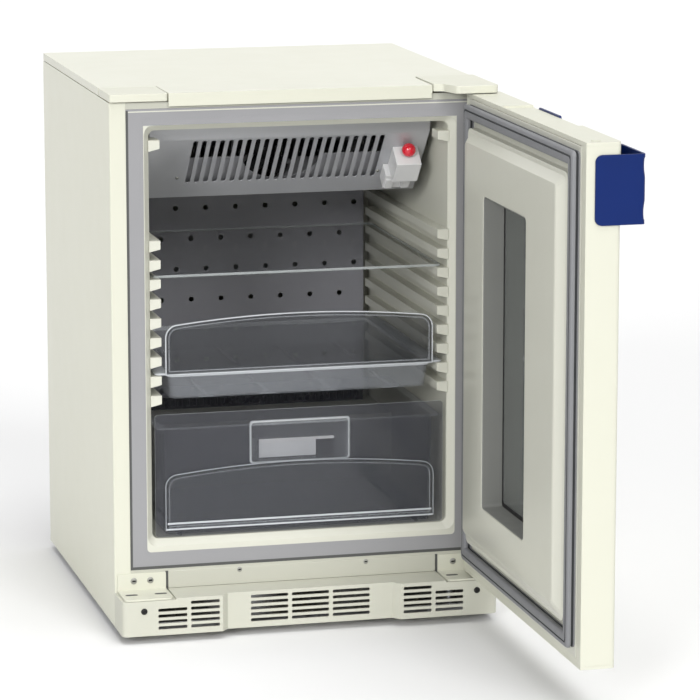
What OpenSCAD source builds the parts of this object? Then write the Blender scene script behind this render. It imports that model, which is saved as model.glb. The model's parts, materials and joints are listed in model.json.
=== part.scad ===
// Under-counter laboratory refrigerator with a right-hinged glazed door.
// The origin is on the floor, midway between the four levelling feet.
// +X is to the right when facing the door, +Y is to the rear, +Z is up.

/* [Cabinet] */
// Overall width of the cabinet and of the door
body_w = 595; // [590:1:600]
// Depth of the cabinet without door and plinth
body_d = 580; // [575:1:600]
// Height of the worktop above the floor
body_h = 837; // [835:1:845]
// Gap between the floor and the base of the case
floor_gap = 12; // [12:1:14]
// Thickness of the steel sheet of the case
sheet = 1.2; // [1:0.1:1.5]

/* [Chamber] */
// Width between the plain walls of the chamber
chamber_w = 470; // [468:1:472]
// Height of the chamber floor above the room floor
chamber_z0 = 145; // [143:1:147]
// Height of the chamber ceiling above the room floor
chamber_z1 = 779; // [777:1:780]
// Depth of the chamber behind the front face
chamber_d = 500; // [495:1:505]
// Wall thickness of the moulded liner
liner_wall = 3; // [2:0.5:3]
// Number of shelf ribs on each side
rib_count = 9; // [6:1:9]
// Distance from one shelf rib to the next
rib_pitch = 30; // [29:0.5:30]
// How far a rib stands out of the wall
rib_reach = 16.5; // [15:0.5:17]

/* [Door] */
// Rest position of the door, 0 is shut and 90 is open square to the front
door_rest = 90; // [0:5:110]
// Thickness of the door without its gasket
door_t = 52; // [50:1:54]
// Gap between the shut door and the front frame
door_gap = 14; // [13:1:15]
// Height of the lower edge of the door
door_z0 = 71.4; // [71.3:0.1:72]
// Height of the upper edge of the door
door_z1 = 825.5; // [825:0.1:825.6]
// Width of the window
window_w = 217; // [200:1:220]
// Height of the window
window_h = 479; // [460:1:480]

/* [Handle] */
// Height of the handle
handle_h = 99; // [80:1:110]
// Reach of the grip plate across the door
handle_w = 105; // [95:1:110]
// Finger gap behind the grip plate
handle_gap = 31; // [28:1:32]

/* [Inside] */
// Height of the drawer front
drawer_h = 190; // [180:1:190]
// Depth of the drawer
drawer_d = 318; // [300:1:318]
// Depth of the upper tray
tray_d = 390; // [360:1:400]
// Diameter of the holes of the rear panel
panel_hole_d = 8.4; // [6:0.2:10]
// Number of slots in the evaporator cover
cover_slots = 22; // [18:1:22]

/* [Hidden] */
$fn = 48;
hw = body_w / 2;
yf = -body_d / 2;
yb = body_d / 2;
running = 0.06;
// case
top_t = 12;
case_z1 = body_h - top_t - 1;
frame_x0 = 245.5;
frame_x1 = 272;
frame_z0 = 127;
frame_z1 = 797;
frame_rim = 26.5;
lower_rail_z0 = 69;
// chamber
cw = chamber_w / 2;
chamber_y1 = yf + chamber_d;
step_y = 55;
step_z = 252;
rib_top0 = 610;
rib_h = 13;
rib_y1 = 165;
mouth_d = 13;
flare = 9.5;
// machine bay
bay_y0 = 95;
bay_z1 = 212;
// hinge
hinge_x = hw - 20;
hinge_y = yf - door_gap - 20;
pin_r = 5;
bracket_t = 3;
bracket_z = 66.9;
top_bracket_z = 826.5;
// door, described in its shut position
door_y1 = yf - door_gap;
door_y0 = door_y1 - door_t;
cap_t = 5;
edge_r = 7;
window_x0 = -88.5;
window_z0 = 211;
liner_y = door_y1 + 1;
panel_y = -281.5;
y_under = door_y1 - sheet - 1;
// handle
handle_z0 = 709;
handle_t = 3.5;
// feet and compressor positions
foot_x = 255;
foot_y = 230;
foot_r = 20;
stud_r = 5;
comp_x = -115;
comp_y = 192;
cond_fan_y = 192;
cond_fan_z = 112;
// evaporator cover outline in the side view
cover_w = 222;
cover_top = [-219, 756];
cover_low = [-122, 652];
cover_y1 = 164;
evap_fan_y = -40;
evap_fan_z = 712;
evap_fan_r = 52;
slot_r = 3.9;

function arc_pts(cx, cy, r, a0, a1, n = 5) =
    [for (i = [0:n]) [cx + r * cos(a0 + (a1 - a0) * i / n), cy + r * sin(a0 + (a1 - a0) * i / n)]];

function round_rect(x0, y0, x1, y1, r, n = 5) = concat(
    arc_pts(x1 - r, y1 - r, r, 0, 90, n), arc_pts(x0 + r, y1 - r, r, 90, 180, n),
    arc_pts(x0 + r, y0 + r, r, 180, 270, n), arc_pts(x1 - r, y0 + r, r, 270, 360, n));

// a box given by its two opposite corners
module box(lo, hi) {
    translate(lo) cube(hi - lo);
}

// extrudes an outline drawn as (X, Z) from y0 to y1
module front_plate(y0, y1) {
    translate([0, y1, 0]) rotate([90, 0, 0]) linear_extrude(y1 - y0) children();
}

// extrudes an outline drawn as (Y, Z) from x0 to x1
module side_plate(x0, x1) {
    translate([x0, 0, 0]) rotate([90, 0, 90]) linear_extrude(x1 - x0) children();
}

// extrudes an outline drawn as (X, Y) from z0 to z1
module plan_plate(z0, z1) {
    translate([0, 0, z0]) linear_extrude(z1 - z0) children();
}

// a cylinder along Y from y0 to y1
module rod_y(x, z, r, y0, y1) {
    translate([x, y0, z]) rotate([-90, 0, 0]) cylinder(h = y1 - y0, r = r);
}

// a cylinder along X from x0 to x1
module rod_x(y, z, r, x0, x1) {
    translate([x0, y, z]) rotate([0, 90, 0]) cylinder(h = x1 - x0, r = r);
}

// a cylinder along Z from z0 to z1
module rod_z(x, y, r, z0, z1) {
    translate([x, y, z0]) cylinder(h = z1 - z0, r = r);
}

// turns the parts of the door from shut to the rest position
module on_door() {
    translate([hinge_x, hinge_y, 0]) rotate([0, 0, door_rest])
        translate([-hinge_x, -hinge_y, 0]) children();
}

module both_sides() {
    children();
    mirror([1, 0, 0]) children();
}

// ---------- case ----------

// plan of the left side sheet with its rounded front flange and its rear flange
function side_plan() = concat(
    arc_pts(-hw + 3, yf + 3, 3, 180, 270),
    [[-frame_x1, yf], [-frame_x1, yf + sheet]],
    arc_pts(-hw + 3, yf + 3, 3 - sheet, 270, 180),
    [[-hw + sheet, yb - sheet], [-hw + 18, yb - sheet], [-hw + 18, yb], [-hw, yb]]);

module side_panel() {
    plan_plate(floor_gap, case_z1) polygon(side_plan());
}

module left_side_panel() {
    color("ivory") side_panel();
}

module right_side_panel() {
    color("ivory") mirror([1, 0, 0]) side_panel();
}

module top_outline(inset) {
    difference() {
        polygon(round_rect(-hw + inset, yf - 6 + inset, hw - inset, yb - inset, 4 - inset));
        translate([-hw - 1, yf - 7]) square([91.5 + inset, 92 + inset]);
        translate([205 - inset, yf - 7]) square([100, 105 + inset]);
    }
}

module top_panel() {
    color("ivory") {
        difference() {
            plan_plate(body_h - top_t, body_h) top_outline(0);
            plan_plate(body_h - top_t - 1, body_h - 1.5) top_outline(1.5);
        }
        box([-207, yf - 6, body_h - 20], [204, yf - 4.5, body_h - top_t]);
    }
}

module rear_panel() {
    panel_y1 = yb - sheet;
    color("gainsboro") {
        difference() {
            box([-hw + sheet, panel_y1 - sheet, bay_z1], [hw - sheet, panel_y1, case_z1]);
            for (z = [300:100:700])
                front_plate(panel_y1 - 0.5, panel_y1 + 1)
                    polygon(round_rect(-230, z - 12, 230, z + 12, 11));
        }
    }
}

module front_frame() {
    color("darkgray") front_plate(yf, yf + 1.5) difference() {
        translate([-frame_x1, frame_z0 - frame_rim])
            square([2 * frame_x1, frame_z1 - frame_z0 + 2 * frame_rim - 10]);
        polygon(round_rect(-frame_x0, frame_z0, frame_x0, frame_z1, 6));
    }
}

module cross_rail(z0, z1) {
    box([-frame_x1, yf, z0], [frame_x1, yf + sheet, z1]);
    box([-frame_x1, yf + sheet, z0], [frame_x1, yf + 20, z0 + sheet]);
}

module front_cross_rails() {
    color("ivory") {
        cross_rail(lower_rail_z0, frame_z0 - frame_rim);
        box([-frame_x1, yf, frame_z1 + frame_rim - 10], [frame_x1, yf + sheet, case_z1]);
    }
}

// a prism of the chamber grown by a wall thickness, rounded in the front view
module chamber_prism(grow, y0, y1) {
    front_plate(y0, y1)
        polygon(round_rect(-cw - grow, chamber_z0 - grow, cw + grow, chamber_z1 + grow, 10 + grow));
}

// side outline of the chamber, with the step over the machine bay cut away
module chamber_side(grow, y0) {
    side_plate(-cw - 10, cw + 10) polygon([
        [y0, chamber_z0 - 10], [step_y + grow, chamber_z0 - 10], [step_y + grow, step_z - grow],
        [chamber_y1 + grow, step_z - grow], [chamber_y1 + grow, chamber_z1 + 10],
        [y0, chamber_z1 + 10]]);
}

module chamber_solid(grow, y0) {
    intersection() {
        chamber_prism(grow, y0, chamber_y1 + grow);
        chamber_side(grow, y0);
    }
}

// the cut that flares the moulded lip round the chamber's mouth
module mouth_flare() {
    hull() {
        front_plate(yf - 0.01, yf + 0.01) polygon(round_rect(
            -cw - flare, chamber_z0 - flare, cw + flare, chamber_z1 + flare, 14, 3));
        front_plate(yf + mouth_d - 1, yf + mouth_d + 0.5)
            polygon(round_rect(-cw, chamber_z0, cw, chamber_z1, 10, 3));
    }
}

// one shelf rib of the right wall: flat on top, tapering to the wall underneath
module shelf_rib(z, y1) {
    front_plate(yf + 10, y1) polygon([
        [cw + 1, z], [cw - rib_reach, z], [cw - rib_reach, z - rib_h], [cw, z - rib_h - 4],
        [cw + 1, z - rib_h - 4]]);
}

module inner_liner() {
    color("ivory") {
        difference() {
            union() {
                chamber_solid(liner_wall, yf + liner_wall);
                front_plate(yf, yf + mouth_d)
                    polygon(round_rect(-frame_x0, frame_z0, frame_x0, frame_z1, 6));
            }
            chamber_solid(0, yf - 1);
            mouth_flare();
        }
        both_sides() {
            for (k = [0:rib_count - 1]) shelf_rib(rib_top0 - k * rib_pitch, rib_y1);
            shelf_rib(764, yf + 45);
        }
    }
}

module foam_insulation() {
    color("khaki") difference() {
        box([-hw + sheet, yf + liner_wall, 97], [hw - sheet, yb - 2 * sheet, case_z1 - 2]);
        chamber_solid(liner_wall, yf - 1);
        front_plate(yf - 1, yf + mouth_d)
            polygon(round_rect(-frame_x0, frame_z0, frame_x0, frame_z1, 6));
        box([-hw, bay_y0, 90], [hw, yb + 1, bay_z1]);
    }
}

module base_tray() {
    inner = hw - sheet;
    color("silver") difference() {
        union() {
            box([-inner, yf + 2, floor_gap], [inner, yb - sheet, floor_gap + 2]);
            both_sides() box([inner - 1.2, yf + 2, floor_gap], [inner, yb - sheet, floor_gap + 28]);
            for (x = [-foot_x, foot_x], y = [-foot_y, foot_y])
                rod_z(x, y, 9, floor_gap, floor_gap + 22);
        }
        for (x = [-foot_x, foot_x], y = [-foot_y, foot_y])
            rod_z(x, y, stud_r + running, floor_gap - 1, floor_gap + 23);
    }
}

// ---------- plinth ----------

plinth_y0 = yf - 64;
plinth_step = 12;
plinth_z1 = 69;
slot_h = 5;
slot_pitch = 9.3;

// front wall of the plinth in plan, thickened by t towards the rear
function plinth_plan(t) = concat(
    [[-hw + t, yf]],
    arc_pts(-hw + 9, plinth_y0 + 9, 9 - t, 180, 270),
    [[-141 + t / 2, plinth_y0 + t], [-131 + t / 2, plinth_y0 + plinth_step + t],
        [131 - t / 2, plinth_y0 + plinth_step + t], [141 - t / 2, plinth_y0 + t]],
    arc_pts(hw - 9, plinth_y0 + 9, 9 - t, 270, 360),
    [[hw - t, yf]]);

module slot_block(x0, x1, first, last) {
    for (k = [first:last])
        front_plate(plinth_y0 - 1, plinth_y0 + plinth_step + 5)
            polygon(round_rect(x0, 21 + k * slot_pitch, x1, 21 + slot_h + k * slot_pitch, 1.5, 3));
}

module plinth_grille() {
    color("ivory") difference() {
        union() {
            plan_plate(floor_gap, plinth_z1 - 5.5) difference() {
                polygon(plinth_plan(0));
                polygon(plinth_plan(3));
            }
            plan_plate(plinth_z1 - 5.5, plinth_z1 - 2.5) polygon(plinth_plan(0));
            plan_plate(plinth_z1 - 2.5, plinth_z1) intersection() {
                polygon(plinth_plan(0));
                translate([-214, plinth_y0 - 1]) square([428, 70]);
            }
        }
        both_sides() {
            slot_block(-242, -197, 0, 3);
            slot_block(-191, -146, 0, 4);
            rod_y(264, 51, 3, plinth_y0 - 1, plinth_y0 + 4);
        }
        for (k = [-1:1]) slot_block(k * 65 - 29.5, k * 65 + 29.5, 0, 4);
        for (x = [-hinge_x, hinge_x]) rod_z(x, hinge_y, 9, plinth_z1 - 6, plinth_z1 + 1);
    }
}

// ---------- hinges ----------

module lower_bracket() {
    difference() {
        union() {
            front_plate(yf - bracket_t, yf)
                polygon(round_rect(217.5, plinth_z1 - 2, 293, 95.5, 2, 3));
            plan_plate(bracket_z, bracket_z + bracket_t)
                polygon(concat(arc_pts(225.5, plinth_y0 + 10, 8, 180, 270),
                    arc_pts(285, plinth_y0 + 10, 8, 270, 360), [[293, yf], [217.5, yf]]));
        }
        rod_z(hinge_x, hinge_y, pin_r, bracket_z - 1, bracket_z + bracket_t + 1);
        rod_z(232, hinge_y, pin_r, bracket_z - 1, bracket_z + bracket_t + 1);
        for (x = [242, 268]) rod_y(x, 84, 2.6, yf - bracket_t - 1, yf + 1);
    }
}

module lower_hinge_bracket_right() {
    color("ivory") lower_bracket();
}

module lower_hinge_bracket_left() {
    color("ivory") mirror([1, 0, 0]) lower_bracket();
}

module upper_hinge_bracket() {
    color("silver") difference() {
        union() {
            plan_plate(top_bracket_z, top_bracket_z + bracket_t)
                polygon([[215, -205], [215, -286], [246, hinge_y - 8], [288, hinge_y - 8],
                    [292, hinge_y - 4], [292, -205]]);
            box([219, yf + 5, case_z1], [288, -209, top_bracket_z + 1]);
        }
        rod_z(hinge_x, hinge_y, pin_r, top_bracket_z - 1, top_bracket_z + bracket_t + 1);
    }
}

module hinge_pins() {
    color("gray") {
        rod_z(hinge_x, hinge_y, pin_r, bracket_z, 94);
        rod_z(hinge_x, hinge_y, 8, 63.6, bracket_z);
        difference() {
            rod_z(hinge_x, hinge_y, 8, bracket_z + bracket_t, 71);
            rod_z(hinge_x, hinge_y, pin_r, bracket_z, 72);
        }
        rod_z(hinge_x, hinge_y, pin_r, 802, top_bracket_z + bracket_t);
        rod_z(hinge_x, hinge_y, 7, top_bracket_z + bracket_t, top_bracket_z + bracket_t + 3);
    }
}

module hinge_cover_left() {
    x1 = -208;
    y1 = yf + 84;
    color("ivory") difference() {
        plan_plate(body_h - top_t, body_h) polygon(round_rect(-hw, yf - 6, x1, y1, 4));
        plan_plate(body_h - top_t - 1, body_h - 2)
            polygon(round_rect(-hw + 2, yf - 4, x1 - 2, y1 - 2, 2));
    }
}

// plan of the right cover, with the scooped corner beside the worktop's front edge
function cover_plan(t) = concat(
    arc_pts(291, -326, 9 - t, 270, 360),
    arc_pts(296, -196.5, 4 - t, 0, 90),
    [[206.5 + t, -192.5 - t], [206.5 + t, -296 + t]],
    arc_pts(215, -306, 8 + t, 80, 10),
    arc_pts(240, -325, 10 - t, 215, 270));

module hinge_cover_right() {
    color("ivory") difference() {
        plan_plate(top_bracket_z + 0.5, body_h + 2) polygon(cover_plan(0));
        plan_plate(top_bracket_z - 1, body_h) polygon(cover_plan(2));
    }
}

// pan-head screw along -Y: head in front of y, shank behind it
module panhead(x, y, z, r, shank_r, depth) {
    rod_y(x, z, r, y - 2, y);
    rod_y(x, z, shank_r, y, y + depth);
}

module case_screws() {
    color("silver") {
        for (x = [-268, -242, 242, 268]) panhead(x, yf - bracket_t, 84, 5, 2.5, bracket_t);
        for (x = [-101, 101]) rod_y(x, 92, 3.5, yf - 2, yf);
        for (x = [-264, 264]) panhead(x, plinth_y0, 51, 5, 2.9, 4);
        for (x = [-166, 155.5]) on_cover(x, 94) rod_y(0, 0, 3, 0.02, 2);
        for (x = [-270, 0, 270], z = [240, 520, 800]) rod_y(x, z, 4, yb - sheet, yb);
    }
}

// ---------- evaporator ----------

module cover_side() {
    polygon([[cover_top[0] - 6, chamber_z1 - 0.5], cover_top, cover_low, [cover_y1, cover_low[1]],
        [cover_y1, chamber_z1 - 0.5]]);
}

module cover_hollow() {
    t = 1.5;
    polygon([[cover_top[0] - 6 + t, chamber_z1 + 1], [cover_top[0] + t * 1.1, cover_top[1] + 0.6],
        [cover_low[0] + t * 0.8, cover_low[1] + t], [cover_y1 + 1, cover_low[1] + t],
        [cover_y1 + 1, chamber_z1 + 1]]);
}

// one slot, square to the sloping front and rounded at both ends
module cover_slot(x) {
    slope = atan2(cover_low[0] - cover_top[0], cover_top[1] - cover_low[1]);
    translate([x, -215, 751.7]) rotate([slope, 0, 0]) {
        box([-slot_r, -8, -98], [slot_r, 8, -4]);
        rod_y(0, -4, slot_r, -8, 8);
        rod_y(0, -98, slot_r, -8, 8);
    }
}

module evaporator_cover() {
    color("silver") difference() {
        side_plate(-cover_w, cover_w) cover_side();
        side_plate(-cover_w + 1.5, cover_w - 1.5) cover_hollow();
        for (k = [0:cover_slots - 1]) cover_slot((k - (cover_slots - 1) / 2) * 14.1);
        for (k = [-6:6]) box([k * 30 - 10, -60, cover_low[1] - 1], [k * 30 + 10, 120, cover_low[1] + 3]);
    }
}

module evaporator_coil() {
    color("silver") {
        for (k = [-12:12]) box([k * 16 - 0.5, 20, 662], [k * 16 + 0.5, 120, 768]);
        for (y = [36, 70, 104], z = [680, 715, 750]) rod_x(y, z, 4.5, -205, 205);
    }
}

module fan_shroud() {
    y0 = evap_fan_y - 2;
    color("dimgray") difference() {
        union() {
            box([-205, y0, cover_low[1] + 1.5], [205, evap_fan_y, 698]);
            rod_y(0, evap_fan_z, evap_fan_r + 3, y0, y0 + 22);
        }
        rod_y(0, evap_fan_z, evap_fan_r, y0 - 1, y0 + 17);
        difference() {
            rod_y(0, evap_fan_z, evap_fan_r, y0 + 16.9, y0 + 23);
            for (a = [90, 210, 330])
                translate([0, 0, evap_fan_z]) rotate([0, a - 90, 0])
                    box([-4, y0 + 16, 18], [4, y0 + 24, evap_fan_r + 1]);
        }
    }
}

module evaporator_fan_motor() {
    color("dimgray") {
        rod_y(0, evap_fan_z, 18.5, evap_fan_y + 16, evap_fan_y + 44);
        rod_y(0, evap_fan_z, 2, evap_fan_y - 2, evap_fan_y + 16);
    }
}

// fan rotor about the Y axis at the origin: hub and pitched blades
module rotor(blade_r, hub_r, depth, blades) {
    difference() {
        union() {
            rod_y(0, 0, hub_r, 0, depth);
            for (k = [0:blades - 1])
                rotate([0, k * 360 / blades, 0]) translate([0, depth / 2, hub_r - 1])
                    rotate([0, 0, 28])
                        box([-hub_r * 0.8, -0.8, 0], [hub_r * 0.8, 0.8, blade_r - hub_r]);
        }
        rod_y(0, 0, 2 + running, -1, depth + 1);
    }
}

module evaporator_fan() {
    color("black") translate([0, evap_fan_y, evap_fan_z]) rotor(48, 15, 14, 5);
}

module rear_air_panel() {
    y0 = rib_y1 + 10;
    color("dimgray") {
        difference() {
            box([-218, y0, 272], [218, y0 + 1.5, 650]);
            for (row = [0:6]) {
                half = (row < 5 ? row : row + 1) % 2;
                for (k = [-4 + half:4])
                    rod_y((k - half / 2) * 50.4, 587.5 - row * 50.8, panel_hole_d / 2, y0 - 1, y0 + 3);
            }
        }
        both_sides() box([216.5, y0 + 1.5, 272], [218, chamber_y1, 650]);
    }
}

module return_air_grille() {
    y0 = rib_y1 + 5;
    color("black") difference() {
        box([-216, y0, step_z], [216, y0 + 4, 271]);
        for (k = [-17:17]) box([k * 12 - 3, y0 - 1, step_z + 4], [k * 12 + 3, y0 + 5, 267]);
    }
}

// frame on the sloping cover: X across, Y out of the sheet, Z up the slope
module on_cover(x, down) {
    slope = atan2(cover_low[0] - cover_top[0], cover_top[1] - cover_low[1]);
    translate([x, cover_top[0], cover_top[1]]) rotate([slope, 0, 0]) translate([0, 0, -down])
        mirror([0, 1, 0]) children();
}

button_down = 36;
button_x = 189;

module sensor_box() {
    color("white") on_cover(button_x, button_down) difference() {
        union() {
            box([-20, 0, -42], [20, 37, 0]);
            box([-28, 0, -72], [15, 24, -42]);
            for (x = [-20, 6]) box([x - 6, 24, -70], [x + 6, 27, -50]);
        }
        translate([2, 14, -14]) cylinder(h = 15, r = 4 + running);
    }
}

module red_button() {
    color("crimson") on_cover(button_x, button_down) translate([2, 14, 0])
        rotate_extrude() polygon(concat([[0, -9], [4, -9], [4, 3], [10, 3]],
            arc_pts(0, 8, 11, -5, 88, 8), [[0, 19]]));
}

// ---------- machine bay ----------

module compressor() {
    color("black") {
        translate([comp_x, comp_y, 0]) rotate_extrude() polygon(concat(
            [[0, 34]], arc_pts(57, 52, 18, 270, 360), [[75, 104], [77, 106], [77, 112], [75, 114]],
            arc_pts(45, 152, 30, 0, 80, 6), [[0, 184]]));
        box([comp_x - 95, comp_y - 60, 30], [comp_x + 95, comp_y + 60, 34]);
        box([comp_x + 74, comp_y - 22, 80], [comp_x + 96, comp_y + 22, 130]);
    }
}

module compressor_mounts() {
    color("black") for (x = [-82, 82], y = [-48, 48])
        rod_z(comp_x + x, comp_y + y, 11, floor_gap + 2, 30);
}

module condenser_coil() {
    color("black") {
        for (k = [0:17]) box([92, 108 + k * 9.6, 26], [136, 109 + k * 9.6, 196]);
        for (x = [103, 125], z = [40, 70, 100, 130, 160, 184]) rod_y(x, z, 4, 104, 276);
        for (x = [92, 132]) box([x, 106, 14], [x + 4, 108, 196]);
    }
}

module condenser_shroud() {
    color("dimgray") difference() {
        union() {
            box([84, 106, 14], [91.5, 276, 198]);
            rod_x(cond_fan_y, cond_fan_z, 72, 58, 86);
        }
        rod_x(cond_fan_y, cond_fan_z, 69, 62, 92);
        rod_x(cond_fan_y, cond_fan_z, 3, 57, 63);
        difference() {
            rod_x(cond_fan_y, cond_fan_z, 69, 57, 63);
            translate([0, cond_fan_y, cond_fan_z])
                for (a = [0, 90]) rotate([a, 0, 0]) box([56, -5, -72], [64, 5, 72]);
        }
    }
}

module condenser_fan_motor() {
    color("dimgray") {
        rod_x(cond_fan_y, cond_fan_z, 22, 28, 58);
        rod_x(cond_fan_y, cond_fan_z, 2, 58, 80);
    }
}

module condenser_fan() {
    color("silver") translate([80, cond_fan_y, cond_fan_z]) rotate([0, 0, 90]) rotor(65, 18, 14, 5);
}

// a tube through a list of points, with a ball at each bend
module tube(points, r) {
    for (i = [0:len(points) - 2]) {
        d = points[i + 1] - points[i];
        translate(points[i]) rotate([0, acos(d[2] / norm(d)), atan2(d[1], d[0])])
            cylinder(h = norm(d), r = r);
        if (i > 0) translate(points[i]) sphere(r = r);
    }
}

module refrigerant_tubes() {
    color("peru") {
        tube([[comp_x + 40, comp_y + 20, 182], [comp_x + 40, comp_y + 20, 192],
            [comp_x + 40, 280, 192], [comp_x + 40, 280, 206], [-200, 280, 206], [-200, 280, 212]], 4);
        tube([[comp_x, comp_y - 75, 60], [comp_x, 100, 60], [103, 100, 60], [103, 100, 40],
            [103, 104, 40]], 3);
        tube([[125, 276, 184], [125, 281, 184], [20, 281, 184], [20, 281, 165], [-225, 281, 165],
            [-225, 240, 165], [-225, 240, 151]], 3);
        tube([[-225, 240, 60], [-225, 240, 52], [-260, 240, 52], [-260, 240, 212]], 2);
    }
}

module filter_drier() {
    color("peru") translate([-225, 240, 0]) rotate_extrude() polygon([
        [0, 60], [3, 60], [3, 70], [11, 78], [11, 142], [3, 151], [0, 151]]);
}

module drip_pan() {
    color("black") difference() {
        box([comp_x - 60, 112, 184], [comp_x + 25, 262, 204]);
        box([comp_x - 58, 114, 186], [comp_x + 23, 260, bay_z1]);
    }
}

module control_box() {
    color("lightgray") difference() {
        box([160, 130, 52], [285, 278, 172]);
        box([162, 132, 54], [283, 276, 170]);
        front_plate(275, 279) translate([205, 84]) square([36, 28]);
    }
}

module power_inlet() {
    color("black") difference() {
        union() {
            front_plate(262, 278) translate([205, 84]) square([36, 28]);
            front_plate(278, 280.5) polygon(round_rect(199, 78, 247, 118, 4));
        }
        front_plate(265, 282) polygon([[209.5, 87], [236.5, 87], [236.5, 102], [231, 109],
            [215, 109], [209.5, 102]]);
    }
}

// ---------- feet ----------

module foot(x, y) {
    color("dimgray") translate([x, y, 0]) {
        cylinder(h = 7, r = foot_r);
        translate([0, 0, 7]) cylinder(h = 4.5, r = 9.5, $fn = 6);
        cylinder(h = 46, r = stud_r);
    }
}

module foot_front_left() foot(-foot_x, -foot_y);
module foot_front_right() foot(foot_x, -foot_y);
module foot_rear_left() foot(-foot_x, foot_y);
module foot_rear_right() foot(foot_x, foot_y);

// ---------- door, drawn shut and turned to its rest position ----------

// plan of the door grown inwards by an inset, rounded at the outer edges
function door_plan(inset) = concat(
    arc_pts(-hw + edge_r, door_y0 + edge_r, edge_r - inset, 180, 270),
    arc_pts(hw - edge_r, door_y0 + edge_r, edge_r - inset, 270, 360),
    [[hw - inset, door_y1 - inset], [-hw + inset, door_y1 - inset]]);

window_x1 = window_x0 + window_w;
window_z1 = window_z0 + window_h;

// front view of the window opening grown by g
module window_outline(g) {
    polygon(round_rect(window_x0 - g, window_z0 - g, window_x1 + g, window_z1 + g, 8 + g));
}

module door_shell() {
    color("ivory") on_door() difference() {
        plan_plate(door_z0 + cap_t, door_z1 - cap_t) polygon(door_plan(0));
        plan_plate(door_z0 + cap_t - 1, door_z1 - cap_t + 1) polygon(door_plan(sheet));
        box([-hw + 20, door_y1 - 5, 83.5], [hw - 20, door_y1 + 1, 818.5]);
        front_plate(door_y0 - 1, door_y0 + 5) window_outline(-6);
        box([-hw - 1, door_y1 - 26, 0], [-hw + 5, door_y1 - 20, 20]);
    }
}

module pin_boss(r, z0, z1) {
    rod_z(hinge_x, hinge_y, r, z0, z1);
    rod_z(-hinge_x, hinge_y, r, z0, z1);
}

module door_foam() {
    color("khaki") on_door() difference() {
        plan_plate(door_z0 + cap_t, door_z1 - cap_t) polygon(door_plan(sheet));
        box([-hw + 20, door_y1 - sheet - 1, 0], [hw - 20, door_y1 + 1, 1000]);
        front_plate(door_y0 - 1, door_y1 + 1) window_outline(2.5);
        pin_boss(11, 0, 100);
        pin_boss(11, 790, 900);
    }
}

// raised part of the door liner: rim, bevel and flat panel, open towards the foam
module liner_raise(t) {
    front_plate(y_under - t, liner_y + 11 - t)
        polygon(round_rect(-250 + t, 130 + t, 250 - t, 778 - t, 12));
    hull() {
        front_plate(liner_y + 10 - t, liner_y + 11 - t)
            polygon(round_rect(-243 + t, 137 + t, 243 - t, 771 - t, 10, 3));
        front_plate(panel_y - 0.5 - t, panel_y - t)
            polygon(round_rect(-230 + t, 152 + t, 230 - t, 759 - t, 8, 3));
    }
}

module door_liner() {
    color("ivory") on_door() {
        difference() {
            union() {
                box([-hw + 20.5, y_under, 84], [hw - 20.5, liner_y, 818]);
                liner_raise(0);
            }
            liner_raise(2.5);
            front_plate(door_y0, panel_y + 1) window_outline(0);
        }
        difference() {
            front_plate(door_y0 + 4.8, panel_y) window_outline(2.5);
            front_plate(door_y0, panel_y + 1) window_outline(0);
        }
    }
}

module gasket() {
    color("gray") on_door() front_plate(liner_y, yf - 0.4) difference() {
        polygon(round_rect(-274, 97, 274, 811, 8));
        polygon(round_rect(-253, 121, 253, 787, 8));
    }
}

module inner_window_pane() {
    color("lightslategray") on_door() front_plate(-317, -313.5) window_outline(-0.01);
}

module outer_window_pane() {
    color("lightslategray") on_door() front_plate(door_y0 + sheet, door_y0 + 4.8) window_outline(0);
}

module door_top_cap() {
    color("ivory") on_door() difference() {
        union() {
            plan_plate(door_z1 - cap_t, door_z1) polygon(door_plan(0));
            pin_boss(11, door_z1 - 30, door_z1 - cap_t);
        }
        box([-119.5, door_y0 - 1, door_z1 - 3], [119.5, door_y1 - 1.5, door_z1 + 1]);
        pin_boss(pin_r + running, door_z1 - 31, door_z1 + 1);
    }
}

module door_bottom_cap() {
    color("ivory") on_door() difference() {
        union() {
            plan_plate(door_z0, door_z0 + cap_t) polygon(door_plan(0));
            pin_boss(11, door_z0 + cap_t, door_z0 + 27);
        }
        pin_boss(pin_r + running, door_z0 - 1, door_z0 + 28);
    }
}

module hinge_hole_plugs() {
    color("ivory") on_door() {
        rod_z(-hinge_x, hinge_y, 5, door_z1 - 12, door_z1);
        rod_z(-hinge_x, hinge_y, 7, door_z1, door_z1 + 1);
        rod_z(-hinge_x, hinge_y, 5, door_z0, door_z0 + 12);
        rod_z(-hinge_x, hinge_y, 7, door_z0 - 0.8, door_z0);
    }
}

// plan of the handle: side plate on the door's free edge, grip plate and inner leg
function handle_plan() = let (
    x0 = -hw - 3, y0 = door_y0 - handle_gap - handle_t, x1 = -hw + handle_w) concat(
    [[-hw, door_y1 - 13], [x0, door_y1 - 13]],
    arc_pts(x0 + 6, y0 + 6, 6, 180, 270),
    arc_pts(x1 - 6, y0 + 6, 6, 270, 360),
    [[x1, door_y0 - 3], [x1 + 36, door_y0 - 3], [x1 + 36, door_y0], [x1 - 4, door_y0]],
    arc_pts(x1 - 7, y0 + handle_t + 3, 3, 0, -90, 3),
    arc_pts(x0 + 6, y0 + handle_t + 3, 3, 270, 180, 3));

module handle() {
    color("navy") on_door() difference() {
        plan_plate(handle_z0, handle_z0 + handle_h) polygon(handle_plan());
        for (z = [handle_z0 + 20, handle_z0 + handle_h - 20])
            rod_y(-hw + handle_w + 20, z, 2.2, door_y0 - 4, door_y0 + 1);
    }
}

module handle_screws() {
    color("silver") on_door() for (z = [handle_z0 + 20, handle_z0 + handle_h - 20]) {
        rod_y(-hw + handle_w + 20, z, 2.1, door_y0 - 3, door_y0);
        rod_y(-hw + handle_w + 20, z, 4.5, door_y0 - 5, door_y0 - 3);
    }
}

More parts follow.
